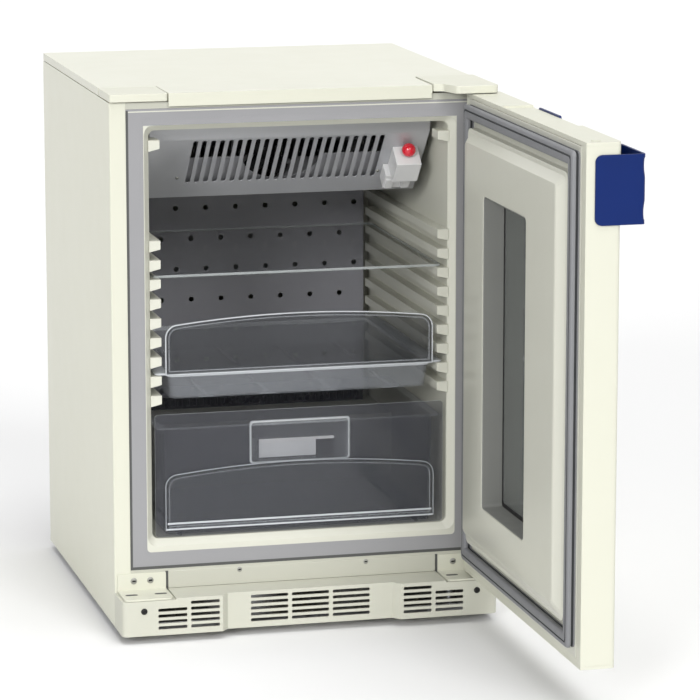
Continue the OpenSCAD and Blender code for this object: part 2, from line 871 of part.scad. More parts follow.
display_x0 = -9.5;
display_x1 = 94.5;
display_z0 = 765;
display_y0 = door_y0 - 3.2;
key_x = [72, 84];
key_z = 792;

module display_housing() {
    color("midnightblue") on_door() difference() {
        front_plate(display_y0, door_y0)
            polygon(round_rect(display_x0, display_z0, display_x1, door_z1 - 0.2, 4));
        front_plate(display_y0 - 1, display_y0 + 1.5)
            polygon(round_rect(2, 777, 60, 813, 3));
        for (x = key_x) rod_y(x, key_z, 4 + running, display_y0 - 1, door_y0 + 1);
    }
}

module display_lens() {
    color("black") on_door() front_plate(display_y0 - 0.3, display_y0 + 1.5)
        polygon(round_rect(2, 777, 60, 813, 3));
}

module key_cap(x) {
    on_door() rod_y(x, key_z, 4, display_y0 - 1.2, door_y0 - 0.9);
}

module display_button_set() {
    color("silver") key_cap(key_x[0]);
}

module display_button_mute() {
    color("silver") key_cap(key_x[1]);
}

// ---------- shelf, tray and drawer ----------

module glass_shelf() {
    z0 = rib_top0 - 2 * rib_pitch + 0.4;
    color("lightblue") plan_plate(z0, z0 + 4)
        polygon(round_rect(-228, yf + 22, 228, rib_y1 - 5, 4));
}

// front view of a raised panel whose top edge rises in a shallow arch
function arch_panel(w, z0, z_side, rise) = concat(
    [[-w, z0], [w, z0]], arc_pts(w - 20, z_side - 20, 20, 0, 80, 5),
    [for (i = [1:15]) let (x = (w - 20) * (1 - i / 8)) [x, z_side + rise * (1 - pow(x / (w - 20), 2))]],
    arc_pts(-w + 20, z_side - 20, 20, 100, 180, 5));

module upper_tray() {
    y0 = yf + 14.5;
    y1 = y0 + tray_d;
    lip_z = rib_top0 - 7 * rib_pitch + 0.6;
    floor_z = lip_z - 38;
    color("lightcyan") {
        difference() {
            union() {
                box([-208, y0, floor_z], [208, y1, lip_z + 3]);
                box([-228, y0, lip_z], [228, y1, lip_z + 3]);
            }
            box([-205.5, y0 + 2.5, floor_z + 2.5], [205.5, y1 - 2.5, lip_z + 4]);
        }
        front_plate(y0 - 3, y0) polygon(arch_panel(212, lip_z, 479, 11));
        for (x = [-146, -49, 49, 146])
            box([x - 2, y0 + 2.5, floor_z + 2.5], [x + 2, y1 - 2.5, floor_z + 5]);
    }
}

drawer_y0 = yf + 14;
drawer_z0 = 149;
grip_x = 78;
grip_z0 = 257;
grip_z1 = 320;

module drawer_bin() {
    y1 = drawer_y0 + drawer_d;
    color("slategray") difference() {
        union() {
            front_plate(drawer_y0, drawer_y0 + 3)
                polygon(round_rect(-229, drawer_z0, 229, drawer_z0 + drawer_h, 4, 3));
            difference() {
                union() {
                    box([-214, drawer_y0, drawer_z0], [214, y1, 317]);
                    both_sides() box([213, drawer_y0, 314.5], [226, y1, 317]);
                }
                box([-211.5, drawer_y0 + 3, drawer_z0 + 3], [211.5, y1 - 2.5, 330]);
            }
            box([-grip_x - 2, drawer_y0, grip_z0 - 2], [grip_x + 2, drawer_y0 + 30, grip_z1 + 2]);
            both_sides() box([186, drawer_y0 + 4, drawer_z0 - 3], [192, y1 - 6, drawer_z0]);
        }
        box([-grip_x, drawer_y0 - 1, grip_z0], [grip_x, drawer_y0 + 28, grip_z1]);
    }
}

module drawer_front_rail() {
    color("lightcyan") {
        front_plate(drawer_y0 - 3.3, drawer_y0 - 0.8) polygon(arch_panel(214, 157, 245, 12));
        box([-214, drawer_y0 - 0.8, 157], [214, drawer_y0, 161]);
    }
}

// ---------- the nodes ----------

left_side_panel();
right_side_panel();
top_panel();
rear_panel();
front_frame();
front_cross_rails();
inner_liner();
foam_insulation();
base_tray();
plinth_grille();
lower_hinge_bracket_left();
lower_hinge_bracket_right();
upper_hinge_bracket();
hinge_pins();
hinge_cover_left();
hinge_cover_right();
case_screws();
evaporator_cover();
evaporator_coil();
fan_shroud();
evaporator_fan_motor();
rear_air_panel();
return_air_grille();
sensor_box();
compressor();
compressor_mounts();
condenser_coil();
condenser_shroud();
condenser_fan_motor();
refrigerant_tubes();
filter_drier();
drip_pan();
control_box();
power_inlet();
red_button();
evaporator_fan();
condenser_fan();
foot_front_left();
foot_front_right();
foot_rear_left();
foot_rear_right();
door_shell();
door_foam();
door_liner();
gasket();
inner_window_pane();
outer_window_pane();
door_top_cap();
door_bottom_cap();
handle();
handle_screws();
display_housing();
display_lens();
display_button_set();
display_button_mute();
hinge_hole_plugs();
glass_shelf();
upper_tray();
drawer_bin();
drawer_front_rail();
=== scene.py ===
"""Looks of an under-counter laboratory refrigerator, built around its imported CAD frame.

Sizes are in millimetres in the row frame, and become metres where a mesh is made. Parts of the door
are drawn for the shut door, as in the CAD source, and the matrix DOOR turns them to the rest position.
"""
import json
from math import atan2, cos, degrees, pi, radians, sin, sqrt

import bmesh
import bpy
from mathutils import Matrix, Vector
from mathutils.geometry import tessellate_polygon


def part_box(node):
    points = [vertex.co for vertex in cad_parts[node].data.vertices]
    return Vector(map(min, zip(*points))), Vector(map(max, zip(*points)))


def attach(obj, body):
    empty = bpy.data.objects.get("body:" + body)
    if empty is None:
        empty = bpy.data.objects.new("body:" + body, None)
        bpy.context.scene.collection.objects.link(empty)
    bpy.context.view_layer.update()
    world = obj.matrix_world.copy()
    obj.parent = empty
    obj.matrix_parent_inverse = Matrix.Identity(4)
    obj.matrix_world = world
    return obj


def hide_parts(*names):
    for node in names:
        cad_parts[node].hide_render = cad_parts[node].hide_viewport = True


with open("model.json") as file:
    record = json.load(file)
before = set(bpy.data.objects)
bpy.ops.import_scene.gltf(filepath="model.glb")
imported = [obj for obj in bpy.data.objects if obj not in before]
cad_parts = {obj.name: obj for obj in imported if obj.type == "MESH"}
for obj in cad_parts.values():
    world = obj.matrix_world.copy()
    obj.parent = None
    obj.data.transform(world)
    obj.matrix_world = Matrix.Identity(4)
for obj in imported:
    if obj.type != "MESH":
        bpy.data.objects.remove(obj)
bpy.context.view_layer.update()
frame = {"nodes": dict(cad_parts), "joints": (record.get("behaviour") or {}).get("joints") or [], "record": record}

MM = 0.001
NODES = frame["nodes"]
JOINTS = {j["name"]: j for j in frame["joints"]}
HINGE = Vector(JOINTS["door_hinge"]["pos_m"]) / MM
DOOR = (Matrix.Translation(HINGE) @ Matrix.Rotation(radians(90), 4, "Z")
        @ Matrix.Translation(-HINGE))


def node_box(node):
    """Lowest and highest corner of a CAD node, in millimetres."""
    lo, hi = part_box(node)
    return lo / MM, hi / MM


def shut_box(node):
    """The same for a node of the door, in the coordinates of the shut door."""
    lo, hi = node_box(node)
    back = DOOR.inverted()
    a, b = back @ lo, back @ hi
    return (Vector([min(p, q) for p, q in zip(a, b)]), Vector([max(p, q) for p, q in zip(a, b)]))


# ---------- materials ----------

def linear(r, g, b):
    """A colour given as it shows on a screen, 0 to 255, in Blender's linear values."""
    out = [c / 255 / 12.92 if c <= 10 else ((c / 255 + 0.055) / 1.055) ** 2.4 for c in (r, g, b)]
    return (*out, 1.0)


def surface(name, colour, rough=0.45, vary=0.05, cloud=4.0, gloss=0.08, grain=600.0, bump=0.06,
            stretch=(1, 1, 1), **sockets):
    """A finish whose colour and gloss drift slowly and whose relief is fine grain."""
    made = bpy.data.materials.new(name)
    made.use_nodes = True
    tree = made.node_tree
    shader = tree.nodes["Principled BSDF"]
    for key, value in sockets.items():
        shader.inputs[key.replace("_", " ")].default_value = value
    where = tree.nodes.new("ShaderNodeTexCoord")
    scaled = tree.nodes.new("ShaderNodeMapping")
    scaled.inputs["Scale"].default_value = stretch
    tree.links.new(where.outputs["Object"], scaled.inputs["Vector"])

    def noise(scale, detail):
        n = tree.nodes.new("ShaderNodeTexNoise")
        n.inputs["Scale"].default_value = scale
        n.inputs["Detail"].default_value = detail
        tree.links.new(scaled.outputs["Vector"], n.inputs["Vector"])
        return n

    drift = noise(cloud, 5)
    ramp = tree.nodes.new("ShaderNodeValToRGB")
    ramp.color_ramp.elements[0].position, ramp.color_ramp.elements[1].position = 0.3, 0.7
    dark, light = ([min(1.0, c * f) for c in linear(*colour)[:3]] + [1] for f in (1 - vary, 1 + vary))
    ramp.color_ramp.elements[0].color, ramp.color_ramp.elements[1].color = dark, light
    tree.links.new(drift.outputs["Fac"], ramp.inputs["Fac"])
    tree.links.new(ramp.outputs["Color"], shader.inputs["Base Color"])
    haze = noise(cloud * 7, 6)
    spread = tree.nodes.new("ShaderNodeMapRange")
    spread.inputs["From Min"].default_value, spread.inputs["From Max"].default_value = 0.3, 0.7
    spread.inputs["To Min"].default_value = max(0.02, rough - gloss)
    spread.inputs["To Max"].default_value = min(1.0, rough + gloss)
    tree.links.new(haze.outputs["Fac"], spread.inputs["Value"])
    tree.links.new(spread.outputs["Result"], shader.inputs["Roughness"])
    relief = tree.nodes.new("ShaderNodeBump")
    relief.inputs["Strength"].default_value = bump
    relief.inputs["Distance"].default_value = 0.0006
    tree.links.new(noise(grain, 3).outputs["Fac"], relief.inputs["Height"])
    tree.links.new(relief.outputs["Normal"], shader.inputs["Normal"])
    return made


MATERIALS = {
    "case_paint": surface("case_paint", (202, 202, 187), 0.36, 0.01, 3, 0.02, 900, 0.08),
    "frame_paint": surface("frame_paint", (142, 142, 144), 0.40, 0.02, 5, 0.03, 900, 0.08),
    "zinc_steel": surface("zinc_steel", (178, 180, 184), 0.33, 0.06, 30, 0.10, 700, 0.12, Metallic=1.0),
    "liner_plastic": surface("liner_plastic", (200, 200, 188), 0.34, 0.01, 4, 0.02, 500, 0.04),
    "foam": surface("foam", (206, 192, 140), 0.9, 0.12, 60, 0.06, 300, 0.8),
    "cream_plastic": surface("cream_plastic", (202, 202, 187), 0.44, 0.01, 6, 0.02, 1200, 0.12),
    "cover_sheet": surface("cover_sheet", (176, 177, 180), 0.36, 0.03, 6, 0.06, 260, 0.10,
                           stretch=(0.12, 1, 1), Metallic=0.35),
    "fin_aluminium": surface("fin_aluminium", (188, 190, 194), 0.32, 0.05, 20, 0.08, 300, 0.10,
                             Metallic=1.0),
    "black_plastic": surface("black_plastic", (16, 16, 18), 0.48, 0.12, 12, 0.10, 1200, 0.25),
    "motor_paint": surface("motor_paint", (62, 63, 66), 0.42, 0.08, 14, 0.08, 800, 0.15),
    "air_panel_paint": surface("air_panel_paint", (146, 146, 152), 0.46, 0.02, 4, 0.06, 220, 0.12,
                               stretch=(0.08, 1, 1)),
    "white_plastic": surface("white_plastic", (206, 206, 206), 0.33, 0.015, 8, 0.05, 900, 0.08),
    "compressor_paint": surface("compressor_paint", (18, 18, 19), 0.28, 0.15, 10, 0.10, 400, 0.18),
    "black_rubber": surface("black_rubber", (24, 24, 25), 0.75, 0.12, 30, 0.08, 900, 0.4),
    "copper": surface("copper", (205, 130, 94), 0.28, 0.10, 25, 0.10, 500, 0.10, Metallic=1.0),
    "grey_plastic": surface("grey_plastic", (160, 161, 163), 0.45, 0.03, 10, 0.06, 1200, 0.18),
    "red_plastic": surface("red_plastic", (196, 14, 38), 0.16, 0.04, 20, 0.04, 900, 0.03,
                           Coat_Weight=0.6, Coat_Roughness=0.06),
    "foot_plastic": surface("foot_plastic", (52, 52, 54), 0.6, 0.08, 20, 0.08, 900, 0.3),
    "gasket_rubber": surface("gasket_rubber", (122, 123, 126), 0.58, 0.03, 9, 0.06, 1400, 0.22),
    # painted shade: a darker copy of gasket_rubber for the seal's grooves
    "gasket_groove_shade": surface("gasket_groove_shade", (66, 68, 70), 0.7, 0.05, 9, 0.06, 1400, 0.22),
    "window_glass": surface("window_glass", (104, 107, 104), 0.07, 0.04, 2, 0.02, 200, 0.01, Alpha=0.86),
    "navy_plastic": surface("navy_plastic", (3, 32, 92), 0.42, 0.05, 12, 0.05, 1500, 0.20,
                            Specular_IOR_Level=0.2),
    "lens_plastic": surface("lens_plastic", (14, 15, 18), 0.08, 0.10, 12, 0.02, 500, 0.02,
                            Coat_Weight=0.5),
    "shelf_glass": surface("shelf_glass", (46, 50, 52), 0.04, 0.03, 3, 0.02, 200, 0.01, Alpha=0.17),
    "clear_plastic": surface("clear_plastic", (86, 89, 94), 0.07, 0.03, 5, 0.03, 160, 0.002,
                             Alpha=0.14),
    "arch_plastic": surface("arch_plastic", (48, 50, 54), 0.07, 0.03, 5, 0.03, 160, 0.002, Alpha=0.40),
    "smoke_plastic": surface("smoke_plastic", (72, 74, 82), 0.08, 0.03, 5, 0.03, 160, 0.002,
                             Alpha=0.27),
    # painted highlight: near-white, less clear finishes on the edges, lips, outlines and ribs of the clear
    # plastics
    "edge_highlight": surface("edge_highlight", (218, 222, 226), 0.18, 0.05, 30, 0.08, 300, 0.10, Alpha=0.58),
    "rim_highlight": surface("rim_highlight", (190, 195, 200), 0.18, 0.05, 30, 0.08, 300, 0.10, Alpha=0.42),
    "faint_edge_highlight": surface("faint_edge_highlight", (170, 174, 180), 0.16, 0.05, 30, 0.08, 300, 0.10, Alpha=0.30),
    # painted highlight: a lighter, less clear finish on the glass shelf's edges
    "shelf_edge_highlight": surface("shelf_edge_highlight", (176, 182, 182), 0.14, 0.05, 20, 0.05, 300, 0.05, Alpha=0.55),
    "screw_paint": surface("screw_paint", (150, 150, 144), 0.4, 0.05, 20, 0.08, 900, 0.1, Metallic=0.4),
    # painted shade: a flat dark finish laid on strips and ovals where gaps and holes fall into shadow
    "painted_gap_shade": surface("painted_gap_shade", (74, 75, 74), 0.6, 0.05, 8, 0.05, 900, 0.1),
    # painted shade: a darker copy of case_paint for the front rails and the rail cover
    "rail_shaded_paint": surface("rail_shaded_paint", (180, 180, 168), 0.38, 0.01, 3, 0.02, 900, 0.08),
    # painted shade: a darker copy of case_paint for the plinth grille
    "plinth_shaded_paint": surface("plinth_shaded_paint", (188, 188, 175), 0.42, 0.01, 6, 0.02, 1200, 0.12),
    # painted light: a grey lighter than the shroud's black plastic, for light seen on the sheets behind the
    # cover's slots
    "baffle_painted_light": surface("baffle_painted_light", (150, 151, 154), 0.45, 0.03, 6, 0.05, 500, 0.1),
    # painted shade: black for the inside of screw cuts and for screw heads sunk in shadow
    "screw_recess_shade": surface("screw_recess_shade", (20, 20, 20), 0.7, 0.05, 8, 0.05, 900, 0.1),
    "card_strip": surface("card_strip", (250, 250, 252), 0.3, 0.01, 14, 0.05, 900, 0.05),
    "card": surface("card", (244, 246, 250), 0.55, 0.02, 14, 0.05, 900, 0.15),
    # painted shade: a darker copy of grey_plastic for the window sleeve's recess walls
    "sleeve_shaded_plastic": surface("sleeve_shaded_plastic", (126, 127, 123), 0.5, 0.03, 6, 0.05, 900, 0.1),
    "basin_plastic": surface("basin_plastic", (150, 154, 160), 0.07, 0.03, 5, 0.03, 160, 0.002,
                             Alpha=0.20),
    "lit_digit": surface("lit_digit", (240, 70, 50), 0.4, 0.02, 20, 0.02, 900, 0.02,
                         Emission_Color=linear(255, 60, 40), Emission_Strength=1.2),
    "floor_paper": surface("floor_paper", (228, 228, 228), 0.85, 0.004, 0.4, 0.04, 90, 0.03),
}

SLOT_OF = {s["node"]: s["material_slot"] for s in frame["record"]["subparts"]}

# ---------- mesh helpers ----------


def mesh_object(name, verts, faces, mats, face_mats=None, where=None, sharp=32):
    """A mesh from millimetre points; face_mats gives each face's place in mats."""
    data = bpy.data.meshes.new(name)
    move = where or Matrix.Identity(4)
    data.from_pydata([(move @ Vector(v)) * MM for v in verts], [], faces)
    for m in mats:
        data.materials.append(MATERIALS[m])
    if face_mats:
        for poly, index in zip(data.polygons, face_mats):
            poly.material_index = index
    bm = bmesh.new()
    bm.from_mesh(data)
    bmesh.ops.remove_doubles(bm, verts=bm.verts, dist=1e-6)
    bmesh.ops.recalc_face_normals(bm, faces=bm.faces)
    bm.to_mesh(data)
    bm.free()
    data.shade_smooth()
    data.set_sharp_from_angle(angle=radians(sharp))
    made = bpy.data.objects.new(name, data)
    bpy.context.scene.collection.objects.link(made)
    return made


class Parts:
    """Collects several closed shapes as one mesh."""

    def __init__(self):
        self.verts, self.faces, self.mats = [], [], []

    def add(self, verts, faces, mat=0, where=None):
        base = len(self.verts)
        self.verts += [tuple(where @ Vector(v)) if where else tuple(v) for v in verts]
        self.faces += [[base + i for i in f] for f in faces]
        self.mats += mat if isinstance(mat, list) else [mat] * len(faces)

    def loft(self, loops, mat=0, closed=False, where=None, band_mats=None):
        """Joins loops of equal length and caps the ends, or joins the last to the first if closed.

        band_mats gives one material per band; the caps keep mat.
        """
        n = len(loops[0])
        verts = [p for loop in loops for p in loop]
        rows = len(loops) if closed else len(loops) - 1
        faces, mats = [], []
        for r in range(rows):
            a, b = r * n, (r + 1) % len(loops) * n
            for i in range(n):
                j = (i + 1) % n
                faces.append([a + i, a + j, b + j, b + i])
                mats.append(band_mats[r] if band_mats else mat)
        if not closed:
            faces += [list(range(n))[::-1], [(len(loops) - 1) * n + i for i in range(n)]]
            mats += [mat, mat]
        self.add(verts, faces, mats, where)

    def plate(self, outlines, to3d, low, high, mat=0, edge_mat=None, where=None):
        """A flat sheet between two levels; the first outline is its rim, the others are holes."""
        flat = [[Vector((u, v, 0)) for u, v in o] for o in outlines]
        points = [p for o in flat for p in o]
        tris = tessellate_polygon(flat)
        n = len(points)
        verts = [to3d(p.x, p.y, low) for p in points] + [to3d(p.x, p.y, high) for p in points]
        faces = [list(t) for t in tris] + [[i + n for i in t][::-1] for t in tris]
        mats = [mat] * len(faces)
        start = 0
        for o in flat:
            for i in range(len(o)):
                j = (i + 1) % len(o)
                faces.append([start + i, start + j, start + j + n, start + i + n])
                mats.append(mat if edge_mat is None else edge_mat)
            start += len(o)
        self.add(verts, faces, mats, where)

    def box(self, lo, hi, mat=0, edge=0.0):
        """A block whose four long edges are chamfered by edge."""
        x0, y0, z0 = lo
        x1, y1, z1 = hi
        e = min(edge, (x1 - x0) / 2.1, (y1 - y0) / 2.1, (z1 - z0) / 2.1)
        levels = [(z0, e), (z0 + e, 0), (z1 - e, 0), (z1, e)] if e else [(z0, 0), (z1, 0)]
        loops = []
        for z, k in levels:
            loops.append([(x, y, z) for x, y in (
                (x0 + k, y0 + e), (x0 + e, y0 + k), (x1 - e, y0 + k), (x1 - k, y0 + e),
                (x1 - k, y1 - e), (x1 - e, y1 - k), (x0 + e, y1 - k), (x0 + k, y1 - e))]
                if e else [(x0, y0, z), (x1, y0, z), (x1, y1, z), (x0, y1, z)])
        self.loft(loops, mat)

    def lathe(self, profile, segments, where):
        """Turns (radius, height) points about local Z; both ends are capped."""
        loops = [[(r * cos(2 * pi * i / segments), r * sin(2 * pi * i / segments), h)
                  for i in range(segments)] for r, h in profile]
        self.loft(loops, where=where)

    def build(self, name, body, slot, mats=(), where=None, sharp=32):
        """A piece that rides on a body; mats stand in for the slot's own material."""
        made = mesh_object(name, self.verts, self.faces, mats or [slot], self.mats, where, sharp)
        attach(made, body)
        return made


def xz(u, v, level):
    return (u, level, v)


def xy(u, v, level):
    return (u, v, level)


def arc(cx, cy, r, a0, a1, n=6):
    return [(cx + r * cos(radians(a0 + (a1 - a0) * i / n)), cy + r * sin(radians(a0 + (a1 - a0) * i / n)))
            for i in range(n + 1)]


def rounded(x0, y0, x1, y1, r, n=6):
    return (arc(x1 - r, y1 - r, r, 0, 90, n) + arc(x0 + r, y1 - r, r, 90, 180, n)
            + arc(x0 + r, y0 + r, r, 180, 270, n) + arc(x1 - r, y0 + r, r, 270, 360, n))


def ring(half, front, back, z, r):
    """A rounded rectangle at one height, centred on x = 0."""
    return [(x, y, z) for x, y in rounded(-half, front, half, back, r)]


def arch(half, z0, side, rise, inset=0.0, r=20):
    """Outline of a raised front panel whose top edge is a shallow arch, drawn inset from its rim."""
    w = half - inset
    crown = [(w - r) * (1 - i / 10) for i in range(1, 20)]
    top = side - inset
    return ([(-w, z0 + inset), (w, z0 + inset)] + arc(w - r, top - r, r, 0, 80, 8)
            + [(x, top + rise * (1 - (x / (w - r)) ** 2)) for x in crown]
            + arc(-w + r, top - r, r, 100, 180, 8))


# ---------- CAD nodes: finish and softened edges ----------

COVER_T, BRACKET_T = 2.0, 3.0
HIDDEN = {"foam_insulation", "door_foam"}
BEVELS = {
    "left_side_panel": 0.5, "right_side_panel": 0.5, "top_panel": 1.6, "rear_panel": 0.4,
    "front_frame": 0.4, "front_cross_rails": 0.5, "inner_liner": 1.8, "base_tray": 0.5,
    "plinth_grille": 0.8, "lower_hinge_bracket_left": 0.8, "lower_hinge_bracket_right": 0.8,
    "upper_hinge_bracket": 0.6, "hinge_pins": 0.6, "hinge_cover_left": 1.6, "hinge_cover_right": 1.6,
    "evaporator_cover": 0.5, "fan_shroud": 0.5, "evaporator_fan_motor": 1.5, "rear_air_panel": 0.3,
    "return_air_grille": 0.4, "sensor_box": 1.4, "red_button": 0.0, "compressor": 1.5,
    "compressor_mounts": 1.5, "condenser_shroud": 0.8, "condenser_fan_motor": 1.5,
    "filter_drier": 0.5, "drip_pan": 0.6, "control_box": 1.2, "power_inlet": 0.6,
    "foot_front_left": 0.8, "foot_front_right": 0.8, "foot_rear_left": 0.8, "foot_rear_right": 0.8,
    "door_shell": 0.8, "door_liner": 1.6, "door_top_cap": 0.9, "door_bottom_cap": 0.9,
    "display_housing": 1.0, "display_lens": 0.3, "display_button_set": 0.6,
    "display_button_mute": 0.6, "hinge_hole_plugs": 0.4,
}


def soften(node, width):
    """Rounds the edges of a CAD node with modifiers, which leave its own vertices alone."""
    target = NODES[node]
    custom = target.data.attributes.get("custom_normal")
    if custom:
        target.data.attributes.remove(custom)
    target.data.shade_smooth()
    weld = target.modifiers.new("weld", "WELD")
    weld.merge_threshold = 1e-5
    flat = target.modifiers.new("flat", "DECIMATE")
    flat.decimate_type = "DISSOLVE"
    flat.angle_limit = radians(0.4)
    if width:
        rim = target.modifiers.new("rim", "BEVEL")
        rim.width = width * MM
        rim.segments = 2
        rim.limit_method = "ANGLE"
        rim.angle_limit = radians(34)
        rim.harden_normals = True
        rim.miter_outer = "MITER_ARC"


# rail and plinth get darker copies of case paint as painted shade; the fan shroud gets a lighter grey as painted
# light
FINISH = {"front_cross_rails": "rail_shaded_paint", "plinth_grille": "plinth_shaded_paint", "fan_shroud": "baffle_painted_light"}
for node, target in NODES.items():
    target.data.materials.clear()
    target.data.materials.append(MATERIALS[FINISH.get(node, SLOT_OF[node])])
    if node not in HIDDEN:
        soften(node, BEVELS.get(node, 0.0))

# ---------- door ----------


def gasket():
    """Bellows seal: a closed loop whose section has a magnet cushion between two grooves."""
    lo, hi = shut_box("gasket")
    base, crest = lo.y, hi.y
    # the third number of each section point picks the darker groove finish, painted shade in the creases
    section = [(0.6, 0.0, 0), (0.6, 2.2, 1), (3.4, 3.4, 1), (3.4, 4.8, 1), (0.2, 6.0, 0), (0.0, 9.6, 0),
               (1.2, 11.6, 0), (3.2, 12.2, 0), (6.6, 12.2, 1), (7.4, 11.0, 1), (8.6, 11.0, 1), (9.4, 12.6, 0),
               (16.4, 12.6, 0), (19.2, 12.0, 0), (20.6, 10.6, 0), (21.0, 8.4, 0), (20.8, 6.0, 1),
               (17.6, 4.8, 1), (17.6, 3.4, 1), (20.4, 2.2, 0), (20.4, 0.0, 0)]
    scale = (crest - base) / 12.6
    loops, bands = [], []
    for across, up, groove_shade in section:
        r = max(8 - across * 0.28, 2.5)
        ring = rounded(lo.x + across, lo.z + across, hi.x - across, hi.z - across, r, 5)
        loops.append([(x, base + up * scale, z) for x, z in ring])
        bands.append(groove_shade)
    parts = Parts()
    parts.loft(loops, closed=True, band_mats=bands)
    made = parts.build("door_gasket", "door", "gasket_rubber", ["gasket_rubber", "gasket_groove_shade"], DOOR, 50)
    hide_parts("gasket")


def handle():
    """Moulded grip: plate on the free edge, grip plate with finger waves, and the inner foot."""
    lo, hi = shut_box("handle")
    x0, y0, y1 = lo.x, lo.y, hi.y
    wall, gap_y, side_x = 3.5, hi.y + 13 - 52, lo.x + 3
    grip_x = hi.x - 36
    radius, steps = 10.0, 60
    waves, wave_depth, wave_half = 3, 1.7, 44
    height = hi.z - lo.z
    loops = []
    for k in range(steps + 1):
        z = lo.z + height * (1 - cos(pi * k / steps)) / 2
        end = min(z - lo.z, hi.z - z)
        cut = radius - sqrt(radius ** 2 - (radius - end) ** 2) if end < radius else 0.0
        gripped = abs(z - (lo.z + hi.z) / 2) < wave_half
        near = y0 + (wave_depth * max(0.0, sin(pi * waves * (z - lo.z) / height)) if gripped else 0.0)
        inner = y0 + wall
        loop = [(side_x, y1 - cut), (x0 + 0.8, y1 - cut), (x0, y1 - cut - 0.8)]
        loop += arc(x0 + 6, near + 6, 6, 180, 270, 6)
        loop += arc(grip_x - 6, near + 6, 6, 270, 360, 6)
        loop += [(grip_x, gap_y - 3), (hi.x - 0.6, gap_y - 3), (hi.x, gap_y - 2.4), (hi.x, gap_y),
                 (grip_x - 4, gap_y)]
        loop += arc(grip_x - 7, inner + 3, 3, 0, -90, 4)
        loop += arc(x0 + 6, inner + 3, 3, 270, 180, 4)
        loops.append([(x, y, z) for x, y in loop])
    parts = Parts()
    parts.loft(loops)
    made = parts.build("door_handle", "door", "navy_plastic", where=DOOR, sharp=40)
    rim = made.modifiers.new("rim", "BEVEL")
    rim.width, rim.segments, rim.limit_method, rim.angle_limit = 0.9 * MM, 3, "ANGLE", radians(60)
    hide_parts("handle")


def window():
    """Two panes with a dark printed border, a spacer between them and a sleeve round the opening."""
    border, corner = 9, 8
    for node in ("inner_window_pane", "outer_window_pane"):
        lo, hi = shut_box(node)
        clear = rounded(lo.x + border, lo.z + border, hi.x - border, hi.z - border, 5)
        parts = Parts()
        parts.plate([rounded(lo.x, lo.z, hi.x, hi.z, corner), clear], xz, lo.y, hi.y, 1)
        parts.plate([clear], xz, lo.y + 0.2, hi.y - 0.2, 0)
        made = parts.build(node.replace("window_pane", "glass"), "door", "window_glass",
                           ["window_glass", "black_plastic"], DOOR)
        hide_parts(node)
    inner, (lo, hi) = shut_box("inner_window_pane"), shut_box("outer_window_pane")

    def frame_outline(inset, r):
        return rounded(lo.x + inset, lo.z + inset, hi.x - inset, hi.z - inset, r)
    parts = Parts()
    parts.plate([frame_outline(0.5, 7.5), frame_outline(8, 5)], xz, hi.y + 0.1, inner[0].y - 0.1)
    parts.build("window_spacer", "door", "fin_aluminium", where=DOOR)
    seat, panel_y = inner[1].y + 0.1, shut_box("door_liner")[1].y
    section = [(seat, 0.1), (panel_y - 1.2, 0.1), (panel_y - 0.5, 0.8), (panel_y - 1.2, 1.6), (seat, 2.4)]
    sleeve = Parts()
    sleeve.loft([[(x, y, z) for x, z in frame_outline(k, corner - k)] for y, k in section], closed=True)
    # the sleeve is painted darker than its grey plastic, as shade on the recess walls
    sleeve.build("window_sleeve", "door", "grey_plastic", ["sleeve_shaded_plastic"], DOOR, 40)


SEGMENTS = {"a": (0, 2, 1, 2), "b": (1, 1, 1, 2), "c": (1, 0, 1, 1), "d": (0, 0, 1, 0),
            "e": (0, 0, 0, 1), "f": (0, 1, 0, 2), "g": (0, 1, 1, 1)}


def display():
    """Two lit seven-segment digits on the lens, with a decimal dot between them."""
    lo, hi = shut_box("display_lens")
    height, width, stroke, pitch, margin = 22.0, 12.0, 2.3, 19, 12
    near, seat = lo.y - 0.12, lo.y + 0.05
    foot = hi.z - 7 - height
    parts = Parts()
    for k, bars in enumerate(("afgcd", "abcdef")):
        x = lo.x + margin + k * pitch
        for bar in bars:
            i0, j0, i1, j1 = SEGMENTS[bar]
            a = Vector((x + i0 * width, foot + j0 * height / 2))
            b = Vector((x + i1 * width, foot + j1 * height / 2))
            along = (b - a).normalized()
            across = Vector((-along.y, along.x)) * stroke / 2
            a, b = a + along * 0.5, b - along * 0.5
            shoulder = along * stroke / 2
            hexagon = [a, a + shoulder + across, b - shoulder + across, b, b - shoulder - across,
                       a + shoulder - across]
            parts.plate([[(p.x, p.y) for p in hexagon]], xz, near, seat)
    dot = lo.x + margin + width + 3.5
    parts.plate([arc(dot, foot + 0.6, 1.1, 0, 337.5, 15)], xz, near, seat)
    parts.build("display_digits", "door", "lens_plastic", ["lit_digit"], DOOR)


